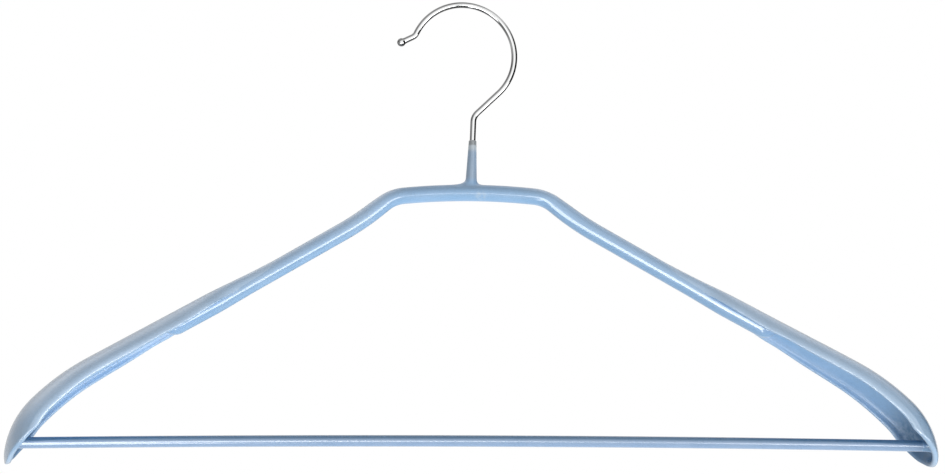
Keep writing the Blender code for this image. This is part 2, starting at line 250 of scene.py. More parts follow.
coat = {
    "blue": (0.34, 0.56, 0.84, 1.0),
    "coatIor": 1.75,
    "glossRough": 0.10,
    "underGloss": 0.3,  # specular level of the coloured layer under the gloss
    "flakeSize": 0.00035,
    "grainRough": 0.05,
    "cloudSize": 0.014,
    "cloudDetail": 3.0,
    "cloudGrey": 1.4,
    "cloudRough": 0.16,
    "peelSize": 0.0034,
    "peelDepth": 0.000005,
    "speckSpacing": 0.016,
    "speckShare": 0.16,
    "speckFade": (0.014, 0.028),  # radii over which a speck ends, as shares of the spacing
    "speckDepth": 0.00002,
    "speckDark": 0.8,
    "speckColour": (0.10, 0.13, 0.17, 1.0),
    "scuffGrain": 0.0016,
    "scuffDetail": 4.0,
    "scuffFade": (0.38, 0.62),
    "scuffPale": 0.6,
    "scuffRough": 0.18,
    "scuffColour": (0.60, 0.72, 0.84, 1.0),
    "rubDetail": 2.0,
    "rubFade": (0.60, 0.72),
    "rubMost": 0.35,
}
metal = {
    "cloudSize": 0.004,
    "cloudDetail": 3.0,
    "cloudRough": 1.2,
    "hairSize": 0.00035,
    "hairDetail": 2.0,
    "hairDepth": 0.00002,
    "leastRough": 0.02,
}
coatSkin = makeCoatSkin()
metalSkin = makeMetalSkin()


def newMaterial(name, group, **inputs):
    material = bpy.data.materials.new(name)
    material.use_nodes = True
    tree = material.node_tree
    shader = tree.nodes["Principled BSDF"]
    skin = addNode(tree, "Group", node_tree=group)
    bump = addNode(tree, "Bump", {"Strength": 1.0, "Distance": 1.0})
    tree.links.new(skin.outputs["Colour"], shader.inputs["Base Color"])
    tree.links.new(skin.outputs["Roughness"], shader.inputs["Roughness"])
    tree.links.new(skin.outputs["Height"], bump.inputs["Height"])
    tree.links.new(bump.outputs[0], shader.inputs["Normal"])
    for key, value in inputs.items():
        skin.inputs[key].default_value = value
    return material, tree, shader, skin


def coatMaterial(name, look):
    made = newMaterial(name, coatSkin, Colour=coat["blue"], Roughness=look["rough"], Clouds=look["clouds"],
                       Flakes=look["flakes"], Peel=coat["peelDepth"], Scuff=0.0)
    shader = made[2]
    shader.inputs["Coat Weight"].default_value = 1.0
    shader.inputs["Coat Roughness"].default_value = coat["glossRough"]
    shader.inputs["Coat IOR"].default_value = coat["coatIor"]
    shader.inputs["Specular IOR Level"].default_value = coat["underGloss"]
    return made


def metalMaterial(name, look):
    made = newMaterial(name, metalSkin, Colour=look["colour"], Roughness=look["rough"], Clouds=look["clouds"],
                       Hairline=look["hairline"])
    made[2].inputs["Metallic"].default_value = 1.0
    return made


# Wide faint rubs, where a noise of this size is high.
def faintRubs(tree, place, size):
    return fade(tree, noise(tree, place, size, coat["rubDetail"]), *coat["rubFade"], 0.0, coat["rubMost"])


tubeLook = {
    "rough": 0.34,
    "clouds": 0.10,
    "flakes": 0.09,
    "rubsSize": 0.030,
    "spotPlace": (0.0068, -0.0034, -0.0868),
    "spotFade": (0.00102, 0.0034),
    "crownGloss": 0.40,
    "crownFade": (0.020, 0.040),  # distances to either side where the crown's gloss ends
}


# The tube has a rubbed spot on the front of its crown and faint ones along the arms. Its weaker gloss
# over the crown stands in for the fainter highlight that the photo shows there.
def makeTubeCoat():
    material, tree, shader, skin = coatMaterial("tubeCoat", tubeLook)
    place = objectPlace(tree)
    rubbed = spot(tree, place, tubeLook["spotPlace"], tubeLook["spotFade"])
    rubs = faintRubs(tree, place, tubeLook["rubsSize"])
    tree.links.new(calc(tree, "MAXIMUM", rubs, rubbed), skin.inputs["Scuff"])
    aside = calc(tree, "ABSOLUTE", addNode(tree, "SeparateXYZ", {0: place}).outputs[0])
    gloss = fade(tree, aside, *tubeLook["crownFade"], tubeLook["crownGloss"], 1.0)
    tree.links.new(gloss, shader.inputs["Coat Weight"])
    return material


shellLook = {
    "rough": 0.34,
    "clouds": 0.16,
    "flakes": 0.09,
    # colour of the painted highlight along the rim
    "pale": (0.44, 0.64, 0.88, 1.0),
    "paleFade": (0.0012, 0.0062),  # distances in from the rim over which the pale colour ends
    # colour of the painted shade inside the toe
    "dark": (0.09, 0.19, 0.33, 1.0),
    "wornMost": 0.3,
    "wornFade": (0.0, 0.0009),
    "patchSize": 0.011,
    "patchDetail": 2.0,
    "patchFade": (0.50, 0.66),
    "rubsSize": 0.034,
    "insideDull": 0.85,
}


# The very edge is rubbed in patches. The paler rim, the dark inside of the toe and the weaker gloss
# inside stand in for the light and shade that the photo shows there.
def makeShellCoat():
    material, tree, shader, skin = coatMaterial("shellCoat", shellLook)
    place = objectPlace(tree)
    edge = mark(tree, "rim")
    paintedRimLight = fade(tree, edge, *shellLook["paleFade"], 1.0, 0.0)
    colour = mixColour(tree, paintedRimLight, coat["blue"], shellLook["pale"])
    colour = mixColour(tree, mark(tree, "shade"), colour, shellLook["dark"])
    tree.links.new(colour, skin.inputs["Colour"])
    cloud = noise(tree, place, shellLook["patchSize"], shellLook["patchDetail"])
    patches = fade(tree, cloud, *shellLook["patchFade"])
    onEdge = fade(tree, edge, *shellLook["wornFade"], shellLook["wornMost"], 0.0)
    worn = calc(tree, "MULTIPLY", onEdge, patches)
    rubs = faintRubs(tree, place, shellLook["rubsSize"])
    tree.links.new(calc(tree, "MAXIMUM", worn, rubs), skin.inputs["Scuff"])
    gloss = calc(tree, "MULTIPLY_ADD", mark(tree, "inside"), -shellLook["insideDull"], 1.0)
    tree.links.new(gloss, shader.inputs["Coat Weight"])
    return material


barLook = {
    "rough": 0.30,
    "clouds": 0.12,
    "flakes": 0.08,
    "blue": (0.36, 0.52, 0.76, 1.0),
    # colour of the painted shade on the bar's top
    "dark": (0.13, 0.27, 0.46, 1.0),
    "darkFade": (-0.25, 0.55),  # heights round the bar, from -1 to 1, over which it darkens
    "darkDull": 0.75,
}


# The bar's top is painted darker and has less gloss: painted shade, which stands in for the dark line along
# its top. The bar's top is darker and has less gloss, which stands in for the dark line that the photo
# shows along it, whether that is colour or shade.
def makeBarCoat():
    material, tree, shader, skin = coatMaterial("barCoat", barLook)
    paintedShade = fade(tree, mark(tree, "around"), *barLook["darkFade"])
    tree.links.new(mixColour(tree, paintedShade, barLook["blue"], barLook["dark"]), skin.inputs["Colour"])
    gloss = calc(tree, "MULTIPLY_ADD", paintedShade, -barLook["darkDull"], 1.0)
    tree.links.new(gloss, shader.inputs["Coat Weight"])
    return material


filletLook = {
    "rough": 0.34,
    "clouds": 0.14,
    "flakes": 0.08,
    # colour of the painted shade on the fillets' tops
    "dark": (0.12, 0.25, 0.44, 1.0),
    "darkFade": (-0.2, 0.7),
}


# The fillets' tops are painted darker too: painted shade that carries on the bar's.
def makeFilletCoat():
    material, tree, shader, skin = coatMaterial("filletCoat", filletLook)
    paintedShade = fade(tree, mark(tree, "around"), *filletLook["darkFade"])
    tree.links.new(mixColour(tree, paintedShade, coat["blue"], filletLook["dark"]), skin.inputs["Colour"])
    return material


sleeveLook = {
    "rough": 0.42,
    "clouds": 0.12,
    "flakes": 0.06,
    "gloss": 0.6,
    "bands": (  # heights up the stem where each colour starts and is full
        (0.0040, 0.0075, (0.38, 0.52, 0.69, 1.0)),
        (0.0180, 0.0205, (0.62, 0.71, 0.78, 1.0)),
        (0.0212, 0.0222, (0.36, 0.39, 0.41, 1.0)),
    ),
}


# Up the stem the sleeve goes from the coat's blue to a greyer blue, a pale patch and a thin grey edge.
def makeSleeveCoat():
    material, tree, shader, skin = coatMaterial("sleeveCoat", sleeveLook)
    shader.inputs["Coat Weight"].default_value = sleeveLook["gloss"]
    rise = mark(tree, "rise")
    colour = coat["blue"]
    for start, full, band in sleeveLook["bands"]:
        colour = mixColour(tree, fade(tree, rise, start, full), colour, band)
    tree.links.new(colour, skin.inputs["Colour"])
    return material


chromeLook = {
    "colour": (0.56, 0.565, 0.565, 1.0),
    # colour of the painted reflection on the side facing up and to the left
    "grey": (0.12, 0.12, 0.12, 1.0),
    "greyFade": (0.10, 0.50),  # shares of facing up and to the left over which it greys
    "rough": 0.05,
    "clouds": 0.10,
    "hairline": 0.05,
}


# The wire is painted a darker grey on the side that faces up and to the left: a painted reflection, standing
# in for the grey band there.
def makeChrome():
    material, tree, shader, skin = metalMaterial("hookChrome", chromeLook)
    paintedReflection = fade(tree, mark(tree, "upLeft"), *chromeLook["greyFade"])
    tree.links.new(mixColour(tree, paintedReflection, chromeLook["colour"], chromeLook["grey"]), skin.inputs["Colour"])
    return material


weldLook = {
    "colour": (0.42, 0.42, 0.44, 1.0),
    "rough": 0.45,
    "clouds": 0.5,
    "hairline": 0.3,
}


def makeWeldSteel():
    return metalMaterial("weldSteel", weldLook)[0]


tubeCoat = makeTubeCoat()
shellCoat = makeShellCoat()
barCoat = makeBarCoat()
filletCoat = makeFilletCoat()
sleeveCoat = makeSleeveCoat()
chrome = makeChrome()
weldSteel = makeWeldSteel()

for nodeName, material in (
    ("arm_tube", tubeCoat),
    ("shoulder_shell_left", shellCoat),
    ("shoulder_shell_right", shellCoat),
    ("trouser_bar", barCoat),
    ("bar_weld_left", filletCoat),
    ("bar_weld_right", filletCoat),
    ("hook_wire", chrome),
    ("hook_weld", weldSteel),
    ("stem_sleeve", sleeveCoat),
):
    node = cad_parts[nodeName]
    node.data.materials.clear()
    node.data.materials.append(material)
print("materials made")


# Hook: one wire with a ball on its tip.
hook = {
    "wireDia": 0.0027,
    "ballDia": 0.0038,
    "tipRun": 0.0056,
    "tipRise": 25.6,
    "tipRadius": 0.0040,
    "loopRadius": 0.0233,
    "loopBack": 64.0,
    "loopFront": 137.0,
    "throatRun": 0.0134,
    "throatRadius": 0.0060,
    "stemRun": 0.0326,
    "stemLean": 3.0,
    "stemOffset": 0.0008,  # of the stem's foot from the middle of the tube's crown
    "facetTrim": 0.000035,  # keeps the round wire inside the solid's flat facets
    "ballTurn": 0.72,  # share of a half turn that the ball's outline goes round
    "neckGap": 0.0004,  # from the ball's last ring to the wire's first, and how fast the neck fades
    "neckFade": 0.00035,
    "footSink": 0.0026,
    "ballSteps": 22,
    "wireSteps": 420,
    "sides": 40,
    # direction of the side of the wire that gets the painted reflection's darker grey
    "greySide": (-0.42, 0.0, 0.91),
}
hookMoves = [
    run(hook["tipRun"]),
    bend(hook["tipRadius"], hook["loopBack"] - hook["tipRise"]),
    bend(hook["loopRadius"], -hook["loopBack"] - hook["loopFront"]),
    run(hook["throatRun"]),
    bend(hook["throatRadius"], hook["loopFront"] - 90.0 - hook["stemLean"]),
    run(hook["stemRun"]),
]
toLoopTop = hookMoves[:2] + [bend(hook["loopRadius"], -hook["loopBack"])]
loopTop = alongRoute((0.0, 0.0), radians(hook["tipRise"]), toLoopTop, [routeLength(toLoopTop)])[0][0]
ball = (-loopTop[0], hook["wireDia"] / 2 - loopTop[2])
footPoint, footHeading = alongRoute(ball, radians(hook["tipRise"]), hookMoves, [routeLength(hookMoves)])
foot = footPoint[0]
crown = foot - np.array([hook["stemOffset"], 0.0, 0.0])
stemUp = -np.array([cos(footHeading[0]), 0.0, sin(footHeading[0])])


# The radius at a distance along the wire is the ball's half chord there. Past the ball it is the
# wire's own radius plus what the ball's last ring stands out by, which fades exponentially.
def makeHookWire(material):
    ballRadius, wireRadius = hook["ballDia"] / 2, hook["wireDia"] / 2 - hook["facetTrim"]
    onBall = -ballRadius * np.cos(np.linspace(0.0, hook["ballTurn"] * pi, hook["ballSteps"]))
    end = routeLength(hookMoves) + hook["footSink"]
    onWire = np.linspace(onBall[-1] + hook["neckGap"], end, hook["wireSteps"])
    distances = np.concatenate([onBall, onWire])
    halfChord = np.sqrt(np.maximum(ballRadius ** 2 - distances ** 2, 0.0))
    neck = np.exp(-np.maximum(distances - onBall[-1], 0.0) / hook["neckFade"])
    pastBall = wireRadius + (halfChord[len(onBall) - 1] - wireRadius) * neck
    radius = np.where(distances < onWire[0], halfChord, pastBall)
    centres, headings = alongRoute(ball, radians(hook["tipRise"]), hookMoves, distances)
    grid = ringGrid(centres, headings, radius, radius, hook["sides"])
    grid = np.concatenate([grid, pointRow(centres[-1], hook["sides"])])
    # How far each point faces that side, which the chrome's painted reflection reads.
    outward = (grid[:-1] - centres[:, None]) @ np.array(hook["greySide"]) / np.maximum(radius, 1e-6)[:, None]
    outward = np.concatenate([outward, outward[-1:]])
    return gridPiece("hookWire", grid, material, "chrome", "hook_wire", upLeft=outward)


# Arm tube.
tube = {
    "dia": 0.0081,
    "crownRadius": 0.2960,
    "crownFall": 5.7,
    "bendRadius": 0.0179,
    "neckFall": 37.1,
    "neckRun": 0.0073,
    "sweepRadius": 0.1260,
    "armFall": 29.9,
    "armRun": 0.0518,
    "lapFall": 28.7,
    "lapRun": 0.0385,
    "endDome": 0.0070,
    "endTuck": 0.75,  # how far the closing end keeps to the shell above it, as a share of its height
    "crownPress": 0.00036,  # how much lower the crown is than the arms, and where that ends
    "pressRun": (0.032, 0.048),
    "sag": 0.0006,  # coat gathered under the tube along the lap
    "sagRun": (-0.006, 0.014),
    "armSteps": 300,
    "domeSteps": 16,
    "sides": 64,
}
armMoves = [
    bend(tube["crownRadius"], -tube["crownFall"]),
    bend(tube["bendRadius"], tube["crownFall"] - tube["neckFall"]),
    run(tube["neckRun"]),
    bend(tube["sweepRadius"], tube["neckFall"] - tube["armFall"]),
    run(tube["armRun"]),
    bend(tube["sweepRadius"], tube["armFall"] - tube["lapFall"]),
    run(tube["lapRun"]),
]
armLength = routeLength(armMoves)


# Both arms are one route mirrored at the crown, with distances below zero on the left arm.
def alongArms(distances):
    distances = np.asarray(distances, float)
    points, headings = alongRoute((crown[0], crown[2]), 0.0, armMoves, np.abs(distances))
    left = distances < 0.0
    points[left, 0] = 2 * crown[0] - points[left, 0]
    return points, np.where(left, -headings, headings)


# Half the tube's height: it is round on the arms and a little flatter over the crown.
def tubeHeight(distances):
    onCrown = 1 - smooth(np.abs(distances), *tube["pressRun"])
    return tube["dia"] / 2 - tube["crownPress"] * onCrown


# Rings of the tube's half depth and half height. Over each end both close as a quarter ellipse, and
# the ring is lifted by a share of what it lost. The sag lowers only its underside.
def makeArmTube(material):
    straight = armLength - tube["endDome"]
    dome = tube["endDome"] * np.sin(np.linspace(0.0, pi / 2, tube["domeSteps"]))
    half = np.concatenate([np.linspace(0.0, straight, tube["armSteps"])[:-1], straight + dome])
    distances = np.concatenate([-half[::-1], half[1:]])
    beyond = np.clip((np.abs(distances) - straight) / tube["endDome"], 0.0, 1.0)
    closing = np.sqrt(1 - beyond ** 2)
    centres, headings = alongArms(distances)
    onLap = np.abs(distances) - (armLength - tube["lapRun"])
    sag = tube["sag"] / 2 * smooth(onLap, *tube["sagRun"])
    height = (tubeHeight(distances) + sag) * closing
    lift = tube["dia"] / 2 * (1 - closing) * tube["endTuck"] - sag
    centres = centres + lift[:, None] * upFrom(headings)
    grid = ringGrid(centres, headings, tube["dia"] / 2 * closing, height, tube["sides"])
    return gridPiece("armTube", grid, material, "tube_coat", "arm_tube")


# Shoulder shells.
shell = {
    "gap": 0.0003,
    "wall": 0.0012,
    "ridgeRun": 0.0755,
    "shoulderRadius": 0.1116,
    "shoulderTurn": 15.7,
    "fallRadius": 0.0389,
    "fallTurn": 36.6,
    "toeRadius": 0.0137,
    "toeTurn": 25.5,
    "archHalf": 0.0210,
    "archDrop": 0.0075,
    "lapDrop": 0.0061,
    "spreadRun": 0.1150,
    "spreadPower": 1.15,
    "coatFrom": -0.0240,  # where the coat over the sheet starts on the tube, and is full
    "coatTo": 0.0160,
    "wrapRun": (0.0080, 0.0380),  # where the sides start to reach below the tube's middle, and hang free
    "fullRun": (0.0560, 0.1050),
    "freeRun": (-0.0020, 0.0180),  # where the coat's sides rise out of the tube
    "flankFrom": 0.35,  # share of the way to a rim where a side starts
    "sink": 0.0001,  # how far the inner face goes into the tube, and the outer one's share of it
    "sinkShare": 0.6,
    "lapBefore": 0.004,  # the inner face leaves the tube from before the lap's end to after it
    "lapAfter": 0.006,
    "overturn": 0.08,  # share by which the section turns on past its half ellipse, at the free rims
    "overturnRun": (0.0380, 0.0620),
    "bead": 0.0004,  # the rolled rim's extra depth along the sides, and round the toe
    "toeBead": 0.0015,
    "toeBeadRun": (0.046, 0.004),  # distances up from the toe where its depth starts, and is full
    "beadFade": (0.0006, 0.0060),  # distances in from the rim over which the bead ends
    "beadRun": (0.006, 0.026),
    "rootRound": 0.0070,
    "toeRound": 0.0189,
    "toeInset": 0.0006,
    "toeEase": 1.3,  # power that eases the corner where the toe's outline starts to close
    "rimReach": 0.0011,  # how far the rounded rim stands past the faces, and past the toe
    "toeReach": 0.0006,
    "reachRun": (0.008, 0.001),
    "turnedFade": (0.5, 0.9),  # shares of the way round a rim where it turns inside
    "shadeRun": (0.042, 0.016),  # distances up from the toe where its dark starts, and is full
    "rimShade": 0.7,  # share of the dark that the rim has, and how far in it becomes whole
    "shadeFade": (0.0002, 0.0018),
    "rootSteps": 18,
    "ridgeSteps": 130,
    "toeSteps": 44,
    "columns": 56,
    "rimSteps": 8,
}
ridgeMoves = [
    run(shell["ridgeRun"]),
    bend(shell["shoulderRadius"], -shell["shoulderTurn"]),
    bend(shell["fallRadius"], -shell["fallTurn"]),
    bend(shell["toeRadius"], -shell["toeTurn"]),
]
ridgeLength = routeLength(ridgeMoves)
seatRadius = tube["dia"] / 2 + shell["gap"]
lapPoint, lapHeading = alongArms([armLength - tube["lapRun"]])
root = lapPoint[0] + seatRadius * upFrom(lapHeading)[0]


# Smooth step between two distances up from the toe.
def nearToe(distances, ends):
    return smooth(distances, ridgeLength - ends[0], ridgeLength - ends[1])


def mirrored(points):
    return points * np.array([-1.0, 1.0, 1.0]) + np.array([2 * crown[0], 0.0, 0.0])


# Ridge of the inner face: on the tube's own route above the lap, then on the ridge's.
def alongRidge(distances):
    onTube, tubeHeadings = alongArms(armLength - tube["lapRun"] + np.minimum(distances, 0.0))
    onTube = onTube + seatRadius * upFrom(tubeHeadings)
    ridge, headings = alongRoute((root[0], root[2]), lapHeading[0], ridgeMoves, np.maximum(distances, 0.0))
    before = distances < 0.0
    return np.where(before[..., None], onTube, ridge), np.where(before, tubeHeadings, headings)


# Half width of a shell's inner face and its drop from ridge to rim. The width opens from the tube's
# by a power of a quarter sine wave. The drop is the tube's radius, then the lap's, then the shoulder's.
def archSize(distances):
    growth = np.sin(pi / 2 * np.clip(distances / shell["spreadRun"], 0.0, 1.0)) ** shell["spreadPower"]
    drop = seatRadius + (shell["lapDrop"] - seatRadius) * smooth(distances, *shell["wrapRun"])
    drop = drop + (shell["archDrop"] - shell["lapDrop"]) * smooth(distances, *shell["fullRun"])
    return seatRadius + (shell["archHalf"] - seatRadius) * growth, drop


# Angle that the rim reaches on the ellipse, drawn in along a quarter circle at the root and an eased
# one at the toe. The free rims turn a little under.
def archEdge(distances):
    rootShare = np.maximum(0.0, 1 - (distances - shell["coatFrom"]) / shell["rootRound"])
    toeShare = np.maximum(0.0, 1 - (ridgeLength - shell["toeInset"] - distances) / shell["toeRound"])
    toeShare = np.minimum(1.0, toeShare) ** shell["toeEase"]
    reach = np.arcsin(np.sqrt(np.maximum(0.0, 1 - np.maximum(rootShare, toeShare) ** 2)))
    return reach * (1 + shell["overturn"] * smooth(distances, *shell["overturnRun"]))


# Point of a shell's section and the outward direction there, from the distance along the ridge,
# the angle on the half ellipse and the height above the inner face: half width times the sine
# across, drop times one less the cosine down, and the height along the ellipse's normal.
def archPoint(distances, angles, heights):
    ridge, headings = alongRidge(distances)
    up = upFrom(headings)
    across = np.array([0.0, 1.0, 0.0])
    half, drop = archSize(distances)
    out = up * (half * np.cos(angles))[..., None] + across * (drop * np.sin(angles))[..., None]
    out /= np.linalg.norm(out, axis=-1)[..., None]
    fall, aside = drop * (1 - np.cos(angles)), half * np.sin(angles)
    inner = ridge - up * fall[..., None] + across * aside[..., None]
    return inner + out * heights[..., None], out


# Height of the outer face: the coat rises out of the tube to the full wall, first over the ridge
# and then out to the rims, where they come free of the tube.
def shellUpper(distances, shares):
    free = smooth(distances, *shell["freeRun"])
    coated = smooth(distances, shell["coatFrom"], shell["coatTo"])
    top = -shell["gap"] + (shell["gap"] + shell["wall"]) * coated
    sunk = shell["gap"] + shell["sink"] * shell["sinkShare"]
    return top - (top + sunk) * (1 - free) * smooth(np.abs(shares), shell["flankFrom"], 1.0)


# Height of the inner face: it lies on the tube along the lap, and thickens to a rolled bead near
# the rim where that hangs free.
def shellLower(distances, rimApart):
    onTube = 1 - smooth(distances, tube["lapRun"] - shell["lapBefore"], tube["lapRun"] + shell["lapAfter"])
    depth = shell["bead"] + (shell["toeBead"] - shell["bead"]) * nearToe(distances, shell["toeBeadRun"])
    bead = (1 - smooth(rimApart, *shell["beadFade"])) * smooth(distances, *shell["beadRun"])
    return -(shell["gap"] + shell["sink"]) * onTube - depth * bead


# How far each point of a grid lies from the nearest point of a closed path.
def pathApart(points, path):
    apart = [np.linalg.norm(points - corner, axis=-1) for corner in path]
    return np.min(apart, axis=0)


# Marks of a shell: the distance in from its rim, how dark its painted shade is in the toe, and whether it is
# inside, which a rim becomes on its way round.
def shellMarks(distances, rimApart, turns):
    onRim = np.zeros((len(distances), len(turns)))
    outside = np.zeros(rimApart.shape)
    turned = np.broadcast_to(smooth(turns / pi, *shell["turnedFade"]), onRim.shape)
    intoToe = nearToe(distances, shell["shadeRun"])[:, None]
    dark = intoToe * (shell["rimShade"] + (1 - shell["rimShade"]) * smooth(rimApart, *shell["shadeFade"]))
    rimDark = shell["rimShade"] * intoToe * turned
    return {
        "rim": np.concatenate([rimApart, onRim, rimApart[:, ::-1], onRim], 1),
        "shade": np.concatenate([outside, rimDark, dark[:, ::-1], rimDark[:, ::-1]], 1),
        "inside": np.concatenate([outside, turned, np.ones(rimApart.shape), turned[:, ::-1]], 1),
    }


# Each row of the grid goes over the outer face, round the back rim, under the inner face and round
# the front rim. A rim is half an ellipse from face to face, turned about the rim's own direction.
def makeShell(name, side, material, node):
    rootTurns = np.linspace(0.0, pi / 2, shell["rootSteps"])
    toeTurns = np.linspace(0.0, pi / 2, shell["toeSteps"])
    rootEnd = shell["coatFrom"] + shell["rootRound"] * (1 - np.cos(rootTurns))
    toeEnd = ridgeLength - shell["toeInset"] - shell["toeRound"] * (1 - np.sin(toeTurns))
    between = np.linspace(rootEnd[-1], toeEnd[0], shell["ridgeSteps"])
    distances = np.concatenate([rootEnd[:-1], between[:-1], toeEnd])
    shares = np.linspace(-1.0, 1.0, shell["columns"] + 1)
    rows = (len(distances), len(shares))
    along = np.broadcast_to(distances[:, None], rows)
    angles = archEdge(distances)[:, None] * shares
    outer, out = archPoint(along, angles, shellUpper(along, np.broadcast_to(shares, rows)))
    rimApart = pathApart(outer, np.concatenate([outer[:, -1], outer[:, 0]]))
    inner = archPoint(along, angles, shellLower(along, rimApart))[0]
    middle = (outer + inner) / 2
    half = np.linalg.norm(outer - inner, axis=-1)[:, [0, -1]] / 2
    path = np.concatenate([middle[:, -1], middle[-2:0:-1, 0]])
    pathOut = np.concatenate([out[:, -1], out[-2:0:-1, 0]])
    across = np.cross(pathOut, np.roll(path, -1, 0) - np.roll(path, 1, 0))
    across /= np.linalg.norm(across, axis=1)[:, None]
    count = len(distances)
    backAcross = across[:count]
    frontAcross = np.concatenate([across[:1], across[count:][::-1], across[count - 1:count]])
    toeShare = nearToe(distances, shell["reachRun"])
    reach = shell["rimReach"] + (shell["toeReach"] - shell["rimReach"]) * toeShare
    reach = np.minimum(half, reach[:, None])
    turns = pi * np.arange(1, shell["rimSteps"]) / shell["rimSteps"]
    turn = turns[None, :, None]

    def rim(edge, outward):
        return middle[:, None, edge] + half[:, edge, None, None] * out[:, None, edge] * np.cos(turn) + (
            reach[:, edge, None, None] * outward[:, None] * np.sin(turn))

    grid = np.concatenate([outer, rim(-1, backAcross), inner[:, ::-1], rim(0, frontAcross)[:, ::-1]], 1)
    grid = grid if side > 0 else mirrored(grid)
    return gridPiece(name, grid, material, "shell_coat", node, **shellMarks(distances, rimApart, turns))


# Trouser bar and its weld fillets.
bar = {
    "dia": 0.0051,
    "toeRun": 0.0093,  # from the toe up the ridge to where the bar meets it
    "bow": 0.0016,
    "intoWall": 0.0005,
    "filletRun": 0.0046,
    "filletSpread": 0.0019,
    "footShare": 0.90,  # a smaller ring inside the fillet's foot, which gives its slope there
    "leaveShare": 0.75,  # shares of the run and of the spread that shape the fillet's curve
    "reachShare": 0.70,
    "steps": 241,
    "sides": 48,
    "filletSteps": 22,
    "filletSides": 64,
}
barFoot = ridgeLength - bar["toeRun"]
landing = alongRoute((root[0], root[2]), lapHeading[0], ridgeMoves, [barFoot])[0][0]
barHalf = landing[0] - crown[0]


# Centre and slope of the bar at distances from its middle: a shallow parabola, highest there.
def alongBar(offsets):
    rise = bar["bow"] * (1 - (offsets / barHalf) ** 2)
    centres = np.stack([crown[0] + offsets, np.zeros_like(offsets), landing[2] + rise], -1)
    return centres, np.arctan(-2 * bar["bow"] * offsets / barHalf ** 2)


def makeTrouserBar(material):
    end = barHalf + bar["intoWall"]
    centres, headings = alongBar(np.linspace(-end, end, bar["steps"]))
    radius = bar["dia"] / 2
    grid = ringGrid(centres, headings, radius, radius, bar["sides"])
    grid = np.concatenate([pointRow(centres[0], bar["sides"]), grid, pointRow(centres[-1], bar["sides"])])
    around = np.sin(np.arange(bar["sides"]) * 2 * pi / bar["sides"])
    return gridPiece("trouserBar", grid, material, "bar_coat", "trouser_bar", around=around)


# A fillet leaves the bar along it and lands flat on the shell's inner face, on a ring laid out
# there by distance along the ridge and angle off it.
def makeBarWeld(name, side, material, node):
    sides = bar["filletSides"]
    angle = np.arange(sides) * 2 * pi / sides
    start, slope = alongBar(np.array([barHalf - bar["filletRun"]]))
    radius = bar["dia"] / 2
    first = ringGrid(start, slope, radius, radius, sides)
    spread = radius + bar["filletSpread"]

    def onShell(size, height):
        distances = barFoot - size * np.sin(angle)
        turns = np.arcsin(size * np.cos(angle) / archSize(distances)[0])
        return archPoint(distances, turns, np.full(sides, height))[0]

    last = onShell(spread, 0.0)
    outward = last - onShell(spread * bar["footShare"], 0.0)
    outward /= np.linalg.norm(outward, axis=1)[:, None]
    forward = np.array([cos(slope[0]), 0.0, sin(slope[0])])
    leave = first + forward * bar["filletRun"] * bar["leaveShare"]
    reach = last - outward * bar["filletSpread"] * bar["reachShare"]
    grid = np.concatenate([
        pointRow(start[0], sides),
        bezierRows(first[0], leave[0], reach, last, bar["filletSteps"]),
        onShell(spread, bar["intoWall"])[None],
        pointRow(onShell(0.0, bar["intoWall"])[0], sides),
    ])
    grid = grid if side > 0 else mirrored(grid)
    return gridPiece(name, grid, material, "fillet_coat", node, around=np.sin(angle))


# Sleeve: the coat on the foot of the hook.
sleeve = {
    "rise": 0.0240,
    "topDia": 0.0034,
    "neckDia": 0.0049,
    "lip": 0.0005,
    "flareRise": 0.0068,  # height up the stem where the flare starts
    "reachLeft": 0.0125,
    "reachRight": 0.0062,
    "footAngle": 52.0,
    "footShare": 0.92,  # a smaller oval inside the flare's foot, which gives its slope there
    "leaveShare": 0.70,  # shares of the fall and of the spread that shape the flare's curve
    "reachShare": 0.72,
    "sinkShare": 0.99,  # the last oval, a little smaller and sunk into the tube
    "sink": 0.00015,
    "lipSteps": 7,
    "taperSteps": 60,
    "flareSteps": 30,
    "sides": 64,
}


# Foot of the flare on the tube: an oval that reaches along the crown by different lengths to the
# left and right, and round the tube by an angle to the front and back.
def flareFoot(share, sunk):
    angle = np.arange(sleeve["sides"]) * 2 * pi / sleeve["sides"]
    across = -np.cos(angle)
    reach = np.where(across < 0.0, sleeve["reachLeft"], sleeve["reachRight"]) * across * share
    around = radians(sleeve["footAngle"]) * np.sin(angle) * share
    centres, headings = alongArms(hook["stemOffset"] + reach)
    depth = (tube["dia"] / 2 - sunk) * np.sin(around)
    height = (tubeHeight(reach) - sunk) * np.cos(around)
    return centres + depth[:, None] * np.array([0.0, 1.0, 0.0]) + height[:, None] * upFrom(headings)


